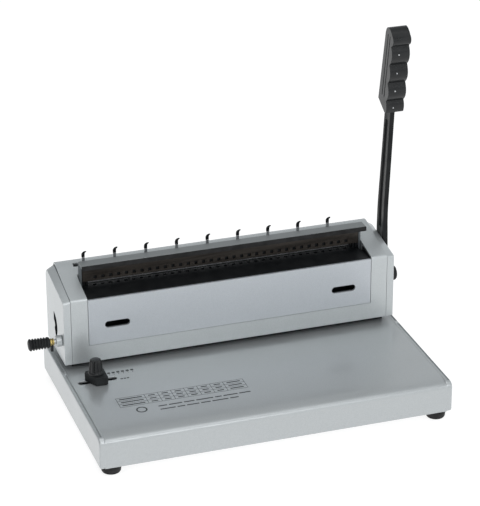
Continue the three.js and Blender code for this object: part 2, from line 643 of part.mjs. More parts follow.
// ---- Wire size slider ------------------------------------------------------------------
// The pointer block slides along the slot; its stem carries a stepped wedge inside the base.
function sizeSlider() {
  const x = SLIDER_X;
  const y = SLIDER_Y;
  const block = extrudeZ(outline([
    [x - 11, y + 4], [x - 3, y - 12], [x + 8, y - 13], [x + 10, y - 11], [x + 10, y + 8], [x - 9, y + 8],
  ]), BASE_TOP + GAP, KNOB_FOOT - GAP);
  const stem = box(x - 2.9, x + 2.9, y - 2.9, y + 2.9, 20, BASE_TOP + 1);
  const steps = [0, 1, 2, 3].map((i) =>
    box(x - 10 + i * 6, x - 4 + i * 6 + 0.1, y - 7, y + 7, 14, 30 - i * 3));
  return unite(block, stem, ...steps);
}

function sizeKnob() {
  const flutes = 10;
  const shape = new THREE.Shape();
  for (let i = 0; i < flutes; i += 1) {
    const a = (i / flutes) * 2 * Math.PI;
    const b = ((i + 0.3) / flutes) * 2 * Math.PI;
    const c = ((i + 0.7) / flutes) * 2 * Math.PI;
    const points = [[6.7, a], [5.9, b], [5.9, c]];
    points.forEach(([r, t], k) => {
      const method = i === 0 && k === 0 ? 'moveTo' : 'lineTo';
      shape[method](r * Math.cos(t), r * Math.sin(t));
    });
  }
  return extrudeZ(shape, KNOB_FOOT, KNOB_FOOT + 16).translate(SLIDER_X, SLIDER_Y, 0);
}

place('size_slider', sizeSlider(), BLACK_PLASTIC);
place('size_knob', sizeKnob(), BLACK_PLASTIC);

machine.position.x = FRAME_SHIFT;

export default machine;
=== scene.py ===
"""Looks of a lever-operated wire comb binding machine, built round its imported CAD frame.

The frame is in metres: +X to the operator's right, +Y away, +Z up. Shapes here are drawn in
millimetres from the middle of the machine, and to_object() turns them into the frame's metres.
"""

import json
import math

import bmesh
import bpy
from mathutils import Matrix, Vector


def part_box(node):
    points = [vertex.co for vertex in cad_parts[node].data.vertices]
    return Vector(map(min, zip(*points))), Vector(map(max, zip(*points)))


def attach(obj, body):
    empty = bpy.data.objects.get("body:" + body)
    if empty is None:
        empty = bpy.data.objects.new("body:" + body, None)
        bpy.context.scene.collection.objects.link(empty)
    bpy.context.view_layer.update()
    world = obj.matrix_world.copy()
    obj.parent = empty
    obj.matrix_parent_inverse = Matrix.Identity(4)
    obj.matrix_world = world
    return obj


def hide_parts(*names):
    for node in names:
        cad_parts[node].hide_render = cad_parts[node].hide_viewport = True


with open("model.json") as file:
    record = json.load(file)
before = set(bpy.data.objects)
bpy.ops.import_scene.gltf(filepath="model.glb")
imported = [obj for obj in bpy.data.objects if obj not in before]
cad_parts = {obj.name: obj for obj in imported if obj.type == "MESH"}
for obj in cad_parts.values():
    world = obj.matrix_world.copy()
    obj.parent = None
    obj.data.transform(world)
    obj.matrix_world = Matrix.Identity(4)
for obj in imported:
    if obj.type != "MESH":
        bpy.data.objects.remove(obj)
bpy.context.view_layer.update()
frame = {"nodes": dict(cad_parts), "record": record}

MM = 0.001
SIDES = (("left", -1), ("right", 1))

# Middle of the machine in x: the frame's origin is under the middle of its whole box instead.
PAN_LOW, PAN_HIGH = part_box("base_pan")
MID_X = (PAN_LOW.x + PAN_HIGH.x) / 2


# ---- Camera, light and floor -----------------------------------------------------------

CAMERA_PLACE = (-0.659, -1.992, 1.140)
CAMERA_YAW = 18.39
CAMERA_PITCH = 24.85
CAMERA_ROLL = 0.22
CAMERA_LENS = 160.6
FLOOR_HALF = 8.0
FLOOR_GREY = 0.3
FLOOR_GLOW = 0.84
SKY = ((0.0, 0.66), (0.5, 0.62), (0.74, 0.46), (1.0, 0.5))  # level by height
SKY_LEAN = (0.0, 0.5, 0.65, 1.25)  # strength from 0.65 on the left to 1.25 on the right
LIGHT_AIM = (0, 0, 0.1)
LIGHTS = (  # name, place, size, power
    ("overhead", (-0.2, -0.2, 2.6), (2.6, 1.6), 18),
    ("slope", (-0.2, -2.2, 2.4), (2.8, 0.8), 15),
    ("front", (-0.2, -3.2, 1.5), (2.8, 0.7), 23),
)


def make_camera():
    data = bpy.data.cameras.new("camera")
    data.lens = CAMERA_LENS
    data.clip_end = 50
    camera = bpy.data.objects.new("camera", data)
    bpy.context.collection.objects.link(camera)
    yaw, pitch = math.radians(CAMERA_YAW), math.radians(CAMERA_PITCH)
    ahead = Vector((
        math.sin(yaw) * math.cos(pitch),
        math.cos(yaw) * math.cos(pitch),
        -math.sin(pitch),
    ))
    turn = ahead.to_track_quat("-Z", "Y").to_matrix()
    turn = Matrix.Rotation(math.radians(CAMERA_ROLL), 3, ahead) @ turn
    camera.matrix_world = Matrix.Translation(CAMERA_PLACE) @ turn.to_4x4()
    bpy.context.scene.camera = camera


def area_light(name, place, size, power):
    data = bpy.data.lights.new(name, "AREA")
    data.shape = "RECTANGLE"
    data.size, data.size_y = size
    data.energy = power
    light = bpy.data.objects.new(name, data)
    bpy.context.collection.objects.link(light)
    light.location = place
    light.rotation_euler = (Vector(LIGHT_AIM) - Vector(place)).to_track_quat("-Z", "Y").to_euler()


def make_floor():
    """A white sweep: mostly lit by itself, so that only soft contact shadows fall on it."""
    mesh = bpy.data.meshes.new("floor")
    half = FLOOR_HALF
    corners = [(-half, -half, 0), (half, -half, 0), (half, half, 0), (-half, half, 0)]
    mesh.from_pydata(corners, [], [(0, 1, 2, 3)])
    floor = bpy.data.objects.new("floor", mesh)
    bpy.context.collection.objects.link(floor)
    paint = bpy.data.materials.new("floor_paint")
    paint.use_nodes = True
    shader = paint.node_tree.nodes["Principled BSDF"]
    shader.inputs["Base Color"].default_value = (FLOOR_GREY, FLOOR_GREY, FLOOR_GREY, 1)
    shader.inputs["Roughness"].default_value = 0.9
    shader.inputs["Specular IOR Level"].default_value = 0.1
    shader.inputs["Emission Color"].default_value = (1, 1, 1, 1)
    shader.inputs["Emission Strength"].default_value = FLOOR_GLOW
    mesh.materials.append(paint)


def make_world():
    """A soft light all round, dimmer overhead and towards the left."""
    world = bpy.data.worlds.new("studio")
    world.use_nodes = True
    nodes, links = world.node_tree.nodes, world.node_tree.links
    place = nodes.new("ShaderNodeTexCoord")
    split = nodes.new("ShaderNodeSeparateXYZ")
    ramp = nodes.new("ShaderNodeValToRGB")
    for position, _ in SKY[1:-1]:
        ramp.color_ramp.elements.new(position)
    for element, (position, level) in zip(ramp.color_ramp.elements, SKY):
        element.position = position
        element.color = (0.97 * level, level, 1.02 * level, 1)
    sideways = nodes.new("ShaderNodeMapRange")
    for socket, value in zip(("From Min", "From Max", "To Min", "To Max"), SKY_LEAN):
        sideways.inputs[socket].default_value = value
    links.new(place.outputs["Generated"], split.inputs["Vector"])
    links.new(split.outputs["Z"], ramp.inputs["Fac"])
    links.new(split.outputs["X"], sideways.inputs["Value"])
    links.new(ramp.outputs["Color"], nodes["Background"].inputs["Color"])
    links.new(sideways.outputs["Result"], nodes["Background"].inputs["Strength"])
    bpy.context.scene.world = world


def make_studio():
    make_world()
    make_floor()
    for light in LIGHTS:
        area_light(*light)
    bpy.context.scene.view_settings.view_transform = "Standard"


# ---- Materials -------------------------------------------------------------------------

def new_material(name, metallic=0.0, coat=0.0, coat_roughness=0.1, specular=0.5):
    made = bpy.data.materials.new(name)
    made.use_nodes = True
    shader = made.node_tree.nodes["Principled BSDF"]
    shader.inputs["Metallic"].default_value = metallic
    shader.inputs["Specular IOR Level"].default_value = specular
    shader.inputs["Coat Weight"].default_value = coat
    shader.inputs["Coat Roughness"].default_value = coat_roughness
    return made


def noise(made, scale, detail=3.0, stretch=(1, 1, 1)):
    """A noise texture in the piece's own space, stretched along any axis."""
    nodes, links = made.node_tree.nodes, made.node_tree.links
    place = nodes.new("ShaderNodeTexCoord")
    mapping = nodes.new("ShaderNodeMapping")
    mapping.inputs["Scale"].default_value = stretch
    texture = nodes.new("ShaderNodeTexNoise")
    texture.inputs["Scale"].default_value = scale
    texture.inputs["Detail"].default_value = detail
    links.new(place.outputs["Object"], mapping.inputs["Vector"])
    links.new(mapping.outputs["Vector"], texture.inputs["Vector"])
    return texture


def tint(made, texture, dark, light, low=0.35, high=0.65):
    """Base colour that wanders between two shades."""
    nodes, links = made.node_tree.nodes, made.node_tree.links
    ramp = nodes.new("ShaderNodeValToRGB")
    ramp.color_ramp.elements[0].position = low
    ramp.color_ramp.elements[1].position = high
    ramp.color_ramp.elements[0].color = (*dark, 1)
    ramp.color_ramp.elements[1].color = (*light, 1)
    links.new(texture.outputs["Fac"], ramp.inputs["Fac"])
    links.new(ramp.outputs["Color"], nodes["Principled BSDF"].inputs["Base Color"])


def gloss(made, texture, low, high):
    """Roughness that wanders between two values."""
    nodes, links = made.node_tree.nodes, made.node_tree.links
    span = nodes.new("ShaderNodeMapRange")
    span.inputs["From Min"].default_value = 0.3
    span.inputs["From Max"].default_value = 0.7
    span.inputs["To Min"].default_value = low
    span.inputs["To Max"].default_value = high
    links.new(texture.outputs["Fac"], span.inputs["Value"])
    links.new(span.outputs["Result"], nodes["Principled BSDF"].inputs["Roughness"])


def grain(made, texture, strength, depth):
    """Bump, depth in metres."""
    nodes, links = made.node_tree.nodes, made.node_tree.links
    bump = nodes.new("ShaderNodeBump")
    bump.inputs["Strength"].default_value = strength
    bump.inputs["Distance"].default_value = depth
    links.new(texture.outputs["Fac"], bump.inputs["Height"])
    links.new(bump.outputs["Normal"], nodes["Principled BSDF"].inputs["Normal"])


def metallic_grey(name, dark, light, rough, coat=0.5):
    """Metallic paint: fine flakes under a clear coat, with a little orange peel."""
    made = new_material(name, metallic=0.55, coat=coat, coat_roughness=0.14)
    tint(made, noise(made, 2600, 2), dark, light)
    gloss(made, noise(made, 22, 4), rough - 0.03, rough + 0.04)
    grain(made, noise(made, 420, 2), 0.08, 0.00003)
    return made


def silver_paint():
    return metallic_grey("silver_paint", (0.47, 0.50, 0.51), (0.55, 0.58, 0.59), 0.42)


def drawer_paint():
    return metallic_grey("drawer_paint", (0.47, 0.50, 0.53), (0.55, 0.58, 0.615), 0.42)


def base_paint():
    return metallic_grey("base_paint", (0.41, 0.435, 0.445), (0.49, 0.515, 0.525), 0.36)


def rail_paint():
    return metallic_grey("rail_paint", (0.20, 0.215, 0.22), (0.25, 0.265, 0.27), 0.42, 0.1)


def arm_paint():
    return metallic_grey("arm_paint", (0.10, 0.115, 0.125), (0.14, 0.155, 0.165), 0.42, 0.1)


def bronze_plate():
    made = new_material("bronze_plate", metallic=0.5, specular=0.35)
    tint(made, noise(made, 300, 5, (0.06, 1, 1)), (0.026, 0.022, 0.019), (0.050, 0.043, 0.037))
    gloss(made, noise(made, 500, 4, (0.05, 1, 1)), 0.36, 0.55)
    grain(made, noise(made, 900, 3, (0.05, 1, 1)), 0.2, 0.00003)
    return made


def black_paint():
    made = new_material("black_paint", specular=0.15)
    tint(made, noise(made, 90, 4), (0.005, 0.006, 0.007), (0.011, 0.012, 0.013))
    gloss(made, noise(made, 35, 4), 0.34, 0.48)
    grain(made, noise(made, 1500, 3), 0.35, 0.00005)
    return made


# Flat black without shine, used as painted shade inside the curved slot.
def painted_shade_black():
    made = new_material("painted_shade_black", specular=0.0)
    tint(made, noise(made, 90, 3), (0.008, 0.009, 0.010), (0.014, 0.016, 0.017))
    gloss(made, noise(made, 60, 3), 0.85, 0.95)
    grain(made, noise(made, 1500, 3), 0.3, 0.00005)
    return made


def black_plastic():
    made = new_material("black_plastic", specular=0.2)
    tint(made, noise(made, 70, 4), (0.010, 0.011, 0.012), (0.020, 0.022, 0.023))
    gloss(made, noise(made, 50, 4), 0.42, 0.58)
    grain(made, noise(made, 2200, 2), 0.4, 0.00005)
    return made


def knob_plastic():
    made = new_material("knob_plastic", specular=0.3, coat=0.12, coat_roughness=0.15)
    tint(made, noise(made, 70, 4), (0.006, 0.007, 0.008), (0.012, 0.013, 0.014))
    gloss(made, noise(made, 50, 4), 0.26, 0.36)
    grain(made, noise(made, 2200, 2), 0.2, 0.00003)
    return made


def rubber():
    made = new_material("rubber", specular=0.25)
    tint(made, noise(made, 120, 5), (0.010, 0.010, 0.010), (0.020, 0.020, 0.021))
    gloss(made, noise(made, 90, 3), 0.62, 0.8)
    grain(made, noise(made, 1300, 4), 0.5, 0.00006)
    return made


def steel():
    made = new_material("steel", metallic=1.0)
    tint(made, noise(made, 160, 5), (0.42, 0.43, 0.45), (0.60, 0.61, 0.62))
    gloss(made, noise(made, 240, 4), 0.26, 0.42)
    grain(made, noise(made, 1800, 3), 0.15, 0.00003)
    return made


def brass():
    made = new_material("brass", metallic=1.0)
    tint(made, noise(made, 400, 4), (0.30, 0.23, 0.08), (0.50, 0.40, 0.17))
    gloss(made, noise(made, 1500, 2, (1, 0.1, 0.1)), 0.2, 0.36)
    grain(made, noise(made, 2500, 2, (1, 0.1, 0.1)), 0.2, 0.00003)
    return made


def print_ink():
    made = new_material("print_ink")
    tint(made, noise(made, 900, 3), (0.018, 0.021, 0.022), (0.04, 0.044, 0.046))
    gloss(made, noise(made, 300, 3), 0.4, 0.55)
    grain(made, noise(made, 2500, 2), 0.1, 0.00002)
    return made


PAINTS = {
    "silver_paint": silver_paint(),
    "drawer_paint": drawer_paint(),
    "base_paint": base_paint(),
    "rail_paint": rail_paint(),
    "arm_paint": arm_paint(),
    "bronze_plate": bronze_plate(),
    "black_paint": black_paint(),
    "painted_shade_black": painted_shade_black(),
    "black_plastic": black_plastic(),
    "knob_plastic": knob_plastic(),
    "rubber": rubber(),
    "steel": steel(),
    "brass": brass(),
    "print_ink": print_ink(),
}
SLOT_OF = {row["node"]: row["material_slot"] for row in frame["record"]["subparts"]}
BODY_OF = {
    node: body for body, nodes in frame["record"]["behaviour"]["bodies"].items() for node in nodes
}


def paint_cad_nodes():
    for name, node in frame["nodes"].items():
        node.data.materials.clear()
        node.data.materials.append(PAINTS[SLOT_OF[name]])


# ---- Shapes ----------------------------------------------------------------------------

def fillet(corners, steps=6):
    """Closed outline whose corners (a, b, radius) are rounded with arcs."""
    points = []
    for i, (a, b, radius) in enumerate(corners):
        here = Vector((a, b))
        back = (Vector(corners[i - 1][:2]) - here).normalized()
        ahead = (Vector(corners[(i + 1) % len(corners)][:2]) - here).normalized()
        if radius <= 0:
            points.append(here)
            continue
        half = back.angle(ahead) / 2
        centre = here + (back + ahead).normalized() * (radius / math.sin(half))
        reach = radius / math.tan(half)
        first = here + back * reach - centre
        last = here + ahead * reach - centre
        total = first.angle(last)
        for k in range(steps + 1):
            share = k / steps
            arm = first * math.sin((1 - share) * total) + last * math.sin(share * total)
            points.append(centre + arm / math.sin(total))
    return points


AXIS_ORDER = {
    "x": lambda a, b, c: (c, a, b),
    "y": lambda a, b, c: (a, c, b),
    "z": lambda a, b, c: (a, b, c),
}


def add_prism(shape, points, low, high, axis):
    """An outline in the plane across an axis, run along that axis from low to high."""
    order = AXIS_ORDER[axis]
    near = [shape.verts.new(order(p[0], p[1], low)) for p in points]
    far = [shape.verts.new(order(p[0], p[1], high)) for p in points]
    shape.faces.new(near)
    shape.faces.new(far)
    for i in range(len(points)):
        j = (i + 1) % len(points)
        shape.faces.new((near[i], near[j], far[j], far[i]))


def add_lathe(shape, profile, place, axis, sides=48):
    """A profile of (radius, distance along the axis) turned round the axis through place."""
    order = AXIS_ORDER[axis]
    rings = []
    for radius, along in profile:
        if radius < 1e-9:
            rings.append([shape.verts.new(Vector(order(0, 0, along)) + Vector(place))])
            continue
        ring = []
        for k in range(sides):
            angle = 2 * math.pi * k / sides
            point = order(radius * math.cos(angle), radius * math.sin(angle), along)
            ring.append(shape.verts.new(Vector(point) + Vector(place)))
        rings.append(ring)
    for one, two in zip(rings, rings[1:]):
        for k in range(sides):
            m = (k + 1) % sides
            if len(one) == 1:
                shape.faces.new((one[0], two[m], two[k]))
            elif len(two) == 1:
                shape.faces.new((one[k], one[m], two[0]))
            else:
                shape.faces.new((one[k], one[m], two[m], two[k]))


def add_box(shape, low, high):
    points = [(low[0], low[1]), (high[0], low[1]), (high[0], high[1]), (low[0], high[1])]
    add_prism(shape, points, low[2], high[2], "z")


def mesh_object(name, shape, smooth_angle=35):
    """Turns a bmesh in metres into a smooth-shaded object with sharp edges above an angle."""
    bmesh.ops.recalc_face_normals(shape, faces=shape.faces)
    for face in shape.faces:
        face.smooth = True
    for edge in shape.edges:
        edge.smooth = edge.calc_face_angle(0) < math.radians(smooth_angle)
    mesh = bpy.data.meshes.new(name)
    shape.to_mesh(mesh)
    shape.free()
    made = bpy.data.objects.new(name, mesh)
    bpy.context.collection.objects.link(made)
    return made


def to_object(name, shape, smooth_angle=35):
    """The same for a bmesh in millimetres from the middle of the machine."""
    shape.transform(Matrix.Translation((MID_X, 0, 0)) @ Matrix.Scale(MM, 4))
    return mesh_object(name, shape, smooth_angle)


def subtract(made, tool):
    """Cuts one object out of another and applies it. The tool is removed."""
    modifier = made.modifiers.new("cut", "BOOLEAN")
    modifier.operation = "DIFFERENCE"
    modifier.solver = "EXACT"
    modifier.object = tool
    bpy.context.view_layer.objects.active = made
    bpy.ops.object.modifier_apply(modifier=modifier.name)
    bpy.data.objects.remove(tool)


def soften(made, width, segments=3, angle=35):
    """Rounds every edge sharper than an angle, with shading that keeps flat faces flat."""
    bevel = made.modifiers.new("edges", "BEVEL")
    bevel.width = width * MM
    bevel.segments = segments
    bevel.limit_method = "ANGLE"
    bevel.angle_limit = math.radians(angle)
    bevel.harden_normals = True
    bevel.miter_outer = "MITER_ARC"
    return made


def finish_piece(made, node, paint=None):
    """Paints a piece and ties it to the CAD node that it stands for."""
    made.data.materials.clear()
    made.data.materials.append(PAINTS[paint or SLOT_OF[node]])
    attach(made, BODY_OF[node])
    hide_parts(node)
    return made


def add_trim(made, paint, body):
    """Paints a piece that stands for no CAD node."""
    made.data.materials.clear()
    made.data.materials.append(PAINTS[paint])
    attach(made, body)
    return made


def merged(node):
    """The CAD node's own shape with its facets merged."""
    shape = bmesh.new()
    shape.from_mesh(frame["nodes"][node].data)
    bmesh.ops.remove_doubles(shape, verts=shape.verts, dist=0.00001)
    bmesh.ops.dissolve_limit(
        shape, angle_limit=math.radians(1), verts=shape.verts, edges=shape.edges)
    return mesh_object(node + "_fine", shape)


def refined(node, width, paint=None):
    """The CAD node's own shape with its edges rounded as well."""
    made = soften(merged(node), width)
    return finish_piece(made, node, paint)


REFINED_EDGES_MM = {
    "plinth": 0.5,
    "main_cover": 1.1,
    "left_end_cap": 1.4,
    "right_end_cap": 1.4,
    "rear_cover": 0.5,
    "throat_table": 0.4,
    "hook_bar": 0.5,
    "guide_front_plate": 0.12,
    "chip_drawer": 0.4,
    "closer_rail": 0.6,
    "closer_lip": 0.3,
    "size_slider": 0.7,
}


def node_box(node):
    """Low and high corner of a CAD node in millimetres from the middle of the machine."""
    low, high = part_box(node)
    shift = Vector((MID_X, 0, 0))
    return (low - shift) / MM, (high - shift) / MM


def box_mid(node):
    low, high = node_box(node)
    return (low + high) / 2


# ---- Base ------------------------------------------------------------------------------

PAN_EDGE = 7.0  # radius along the front and rear top edges
ROLL_REACH = 24.0  # how far the front edge's curve reaches over the top
ROLL_DROP = 9.5  # and down the front
ROLL_STEPS = [k / 16 for k in range(17)]
PAN_SHEET = 2.0
END_PANEL = 5.9  # width of the side pieces of the pan
END_PROUD = 0.2  # they stand this far above the top, and past the front and back
END_OVERLAP = 1.4  # and reach this far under the bent sheet
END_WALL = 2.5  # they are hollow inside these walls
END_ROOF = 4.0  # and under this roof
TROUGH_NEAR = 1.1  # from the outer face to the near and far sides of the troughs
TROUGH_FAR = 4.3
TROUGH_DEPTH = 1.6
TROUGH_FRONT_ROUND = 1.5
TROUGH_REAR_ROUND = 0.4
TROUGHS = ((-108, 31), (36, 106))  # low and high y
SLIDER_SLOT = fillet(
    [(-177.5, 4.6, 3.3), (-136.5, 4.6, 3.3), (-136.5, 11.4, 3.3), (-177.5, 11.4, 3.3)])


def pan_outline(low, high, inset):
    """Side view (y, z) of the pan's outer or, inset, inner face. The front rolls over slowly."""
    y0, y1 = low.y + inset, high.y - inset
    top = high.z - inset
    radius = PAN_EDGE - inset
    roll = [(y0 + ROLL_REACH * u ** 3, top - ROLL_DROP * (1 - u) ** 2.2) for u in ROLL_STEPS]
    return [(y0, low.z)] + roll[:-1] + fillet([(*roll[-1], 0), (y1, top, radius), (y1, low.z, 0)])


def apply_modifiers(made):
    bpy.context.view_layer.objects.active = made
    for modifier in list(made.modifiers):
        bpy.ops.object.modifier_apply(modifier=modifier.name)


def hollow_end_panel(made, s, low, high, top):
    """Leaves walls and a roof, so that the size slider's wedge has room inside."""
    hollow = bmesh.new()
    inner = high.x - END_PANEL - END_OVERLAP - 1
    near, far = sorted((s * inner, s * (high.x - END_WALL)))
    add_box(hollow, (near, low.y + END_WALL, low.z - 1), (far, high.y - END_WALL, top - END_ROOF))
    subtract(made, to_object("hollow_tool", hollow))


def cut_troughs(made, s, outer, top):
    x0, x1 = sorted((s * (outer - TROUGH_NEAR), s * (outer - TROUGH_FAR)))
    for y0, y1 in TROUGHS:
        trough = bmesh.new()
        shape = fillet([
            (x0, y0, TROUGH_FRONT_ROUND), (x1, y0, TROUGH_FRONT_ROUND),
            (x1, y1, TROUGH_REAR_ROUND), (x0, y1, TROUGH_REAR_ROUND),
        ])
        add_prism(trough, shape, top - TROUGH_DEPTH, top + 3, "z")
        subtract(made, to_object("trough_tool", trough))


def make_end_panel(side, s, low, high):
    """A side piece of the pan, hollow below, with two long troughs sunk in its top."""
    low, high = low.copy(), high.copy()
    low.y -= END_PROUD
    high.y += END_PROUD
    top = high.z + END_PROUD
    panel = bmesh.new()
    outline = fillet([
        (low.y, low.z, 0), (low.y, top, PAN_EDGE), (high.y, top, PAN_EDGE), (high.y, low.z, 0),
    ])
    inner, outer = sorted((s * (high.x - END_PANEL - END_OVERLAP), s * high.x))
    add_prism(panel, outline, inner, outer, "x")
    made = to_object(f"base_end_{side}", panel)
    soften(made, 2.3, 5, 50)
    apply_modifiers(made)
    hollow_end_panel(made, s, low, high, top)
    cut_troughs(made, s, high.x, top)
    soften(made, 0.3, 2, 40)
    finish_piece(made, "base_pan", "base_paint")


def make_pan():
    """A bent sheet from front to back between two side pieces."""
    low, high = node_box("base_pan")
    sheet_end = high.x - END_PANEL + 0.5
    channel = bmesh.new()
    outline = pan_outline(low, high, 0) + pan_outline(low, high, PAN_SHEET)[::-1]
    add_prism(channel, outline, -sheet_end, sheet_end, "x")
    sheet = to_object("base_sheet", channel, 25)
    slot = bmesh.new()
    add_prism(slot, SLIDER_SLOT, high.z - 5, high.z + 2, "z")
    subtract(sheet, to_object("slot_tool", slot))
    soften(sheet, 0.35, 2)
    finish_piece(sheet, "base_pan", "base_paint")
    for side, s in SIDES:
        make_end_panel(side, s, low, high)


FOOT_PROFILE = (
    (0, 0), (7.6, 0), (9.2, 0.7), (9.9, 2), (10.3, 5.6), (10.6, 6.2), (10.6, 8.9), (0, 8.9),
)
FOOT_INWARD = 1.0  # from the middle of the CAD foot
FRONT_FOOT_FORWARD = 2.5


def make_feet():
    for end, forward in (("front", FRONT_FOOT_FORWARD), ("rear", 0)):
        for side, s in SIDES:
            node = f"foot_{end}_{side}"
            middle = box_mid(node)
            place = (middle.x - FOOT_INWARD * s, middle.y - forward, node_box(node)[0].z)
            shape = bmesh.new()
            add_lathe(shape, FOOT_PROFILE, place, "z")
            made = to_object(node + "_fine", shape)
            soften(made, 0.3, 2)
            finish_piece(made, node)


# ---- Housing ---------------------------------------------------------------------------

def make_drawer_and_arms():
    refined("drawer_front", 0.9, "drawer_paint")
    for side, _ in SIDES:
        refined(f"closer_arm_{side}", 0.4, "arm_paint")


SLOT_TURN = (90, 243)  # degrees that the curved slot in the left cap sweeps
SLOT_SHADE_RADII = (3.9, 14.6)  # inner and outer radius of the black sheet of painted shade inside it
SHADE_DEPTHS = (0.12, 0.36)  # from the cap's outer face to the painted-shade sheet's two faces
SHADE_STEPS = 24


def make_slot_shade():
    """A thin black sheet just inside the curved slot, as painted shade for the slot's dark
    inside.
    """
    face = node_box("left_end_cap")[0].x
    shaft = box_mid("main_shaft")
    start, end = SLOT_TURN
    turns = [
        math.radians(start + (end - start) * k / SHADE_STEPS) for k in range(SHADE_STEPS + 1)
    ]
    inner, outer = [
        [(shaft.y + r * math.cos(t), shaft.z + r * math.sin(t)) for t in turns]
        for r in SLOT_SHADE_RADII
    ]
    shade_sheet = bmesh.new()
    near, far = SHADE_DEPTHS
    add_prism(shade_sheet, outer + inner[::-1], face + near, face + far, "x")
    made = soften(to_object("slot_shade", shade_sheet), 0.03, 1)
    add_trim(made, "painted_shade_black", "machine")


SCREW_RADIUS = 3
SCREW_HEIGHT = 1.1
RECESS_LONG = 0.6  # half lengths of the cross recess's arms, as shares of the radius
RECESS_SHORT = 0.14
REAR_SCREW_X = (-165, -55, 55, 165)
REAR_SCREW_EDGE = 6  # from the rear cover's low and high edges


def make_rear_screw(name, place):
    """A pan-head screw with a cross recess, whose head points to the rear."""
    x, y, z = place
    radius, height = SCREW_RADIUS, SCREW_HEIGHT
    profile = [(0, 0), (radius, 0), (radius, 0.45 * height), (0.8 * radius, height), (0, height)]
    head = bmesh.new()
    add_lathe(head, profile, place, "y", 24)
    made = to_object(name, head)
    for a, b in ((RECESS_LONG, RECESS_SHORT), (RECESS_SHORT, RECESS_LONG)):
        recess = bmesh.new()
        low = (x - a * radius, y + 0.5 * height, z - b * radius)
        high = (x + a * radius, y + 2 * height, z + b * radius)
        add_box(recess, low, high)
        subtract(made, to_object("recess_tool", recess))
    add_trim(made, "steel", "machine")


def make_rear_screws():
    low, high = node_box("rear_cover")
    for row, z in (("low", low.z + REAR_SCREW_EDGE), ("high", high.z - REAR_SCREW_EDGE)):
        for i, x in enumerate(REAR_SCREW_X):
            make_rear_screw(f"rear_screw_{row}_{i + 1}", (x, high.y, z))


# ---- Hooks -----------------------------------------------------------------------------

HOOK_COUNT = 9
HOOK_SPLIT = 150.2  # black above, bright below


def hook_claw_outline(x):
    """Front view (x, z) of the claw: up from the stem, then over to the right to a point."""
    return [
        (x - 1.9, HOOK_SPLIT), (x + 1.5, HOOK_SPLIT), (x + 1.5, 153.4), (x + 1.8, 154.6),
        (x + 2.4, 155.4), (x + 3.5, 156.1), (x + 3.0, 156.5), (x + 1.4, 156.4), (x - 0.1, 155.8),
        (x - 1.4, 154.6), (x - 1.9, 153.1),
    ]


def make_hooks():
    """A flat bright stem with a black claw on each."""
    for i in range(1, HOOK_COUNT + 1):
        node = f"hook_{i}"
        low, high = node_box(node)
        x = low.x + 1.9
        claw = bmesh.new()
        add_prism(claw, hook_claw_outline(x), low.y, high.y, "y")
        made = to_object(f"hook_claw_{i}", claw)
        soften(made, 0.25, 2)
        finish_piece(made, node)
        stem = bmesh.new()
        add_box(stem, (x - 1.7, low.y, low.z), (x + 1.4, high.y, HOOK_SPLIT))
        made = to_object(f"hook_stem_{i}", stem)
        soften(made, 0.2, 2)
        finish_piece(made, node, "steel")


# ---- Lever -----------------------------------------------------------------------------

BAR_LINE = (  # (z, y) along the middle of the groove in the bar
    (135, 83.6), (155, 83.2), (180, 81.0), (205, 78.2), (235, 74.9), (264, 71.7),
)
BAR_GROOVE_HALF = 3.4
BAR_GROOVE_DEPTH = 1.3


def make_lever_bar():
    """The CAD bar with a long shallow groove pressed into its inner face."""
    made = merged("lever_arm")
    inner_face = node_box("lever_arm")[0].x
    groove = bmesh.new()
    front = [(y - BAR_GROOVE_HALF, z) for z, y in BAR_LINE]
    rear = [(y + BAR_GROOVE_HALF, z) for z, y in BAR_LINE]
    add_prism(groove, front + rear[::-1], inner_face - 1, inner_face + BAR_GROOVE_DEPTH, "x")
    tool = to_object("groove_tool", groove)
    soften(tool, 1.2, 2)
    subtract(made, tool)
    soften(made, 0.7, 2)
    finish_piece(made, "lever_arm")


GRIP_FOOT = Vector((68, 282))  # (y, z) where the grip's own axis starts
GRIP_TIP = Vector((51.5, 373))
GRIP_HALF = 10
GRIP_VALLEYS = (10, 31.5, 53, 75)  # along the axis, between the finger pads
GRIP_STUDS = ((-12.0, 3.2), (-12.6, 23.5), (-12.6, 45.0), (-12.6, 67.0))  # (across, along)
GRIP_STUD_SIDE = -2.5  # the studs' x from the middle of the grip
GRIP_STUD_TILT = 80  # degrees from upright to facing the operator
GRIP_STUD_PROFILE = ((0, -1), (0.8, -1), (0.8, 0.4), (0.5, 0.7), (0, 0.8))
GRIP_GROOVES = (-2.6, 2.8)  # across the axis
GRIP_GROOVE_DEPTH = 0.7


def curve(start, middle, end, steps=8):
    """Points along a quadratic curve, without its first point."""
    return [
        start * (1 - t) ** 2 + middle * 2 * t * (1 - t) + end * t * t
        for t in (k / steps for k in range(1, steps + 1))
    ]


def grip_outline():
    """Side view in the grip's own frame: (across, along), with four pads on the front."""
    length = (GRIP_TIP - GRIP_FOOT).length

    def valley(along):
        return Vector((-8.8 + 1.2 * along / length, along))

    points = [Vector((12, 3)), Vector((-7.5, -4.2)), Vector((-11.2, -3))]
    points += curve(points[-1], Vector((-13.5, 5)), valley(GRIP_VALLEYS[0]))
    for one, two in zip(GRIP_VALLEYS, GRIP_VALLEYS[1:]):
        peak = valley((one + two) / 2) + Vector((-9.4, 0))
        points += curve(valley(one), peak, valley(two), 10)
    points += curve(points[-1], Vector((-12.4, 77.5)), Vector((-12.4, 82)))
    points += curve(points[-1], Vector((-12.4, 85)), Vector((-8.6, 87.2)))
    points += curve(points[-1], Vector((-1, length + 0.8)), Vector((4.5, length - 1.2)))
    points += curve(points[-1], Vector((9.4, length - 3.4)), Vector((10, length - 10)))
    return points


def grip_place(point):
    """From the grip's own frame to the machine's (y, z)."""
    up = (GRIP_TIP - GRIP_FOOT).normalized()
    across = Vector((up.y, -up.x))
    return GRIP_FOOT + across * point[0] + up * point[1]


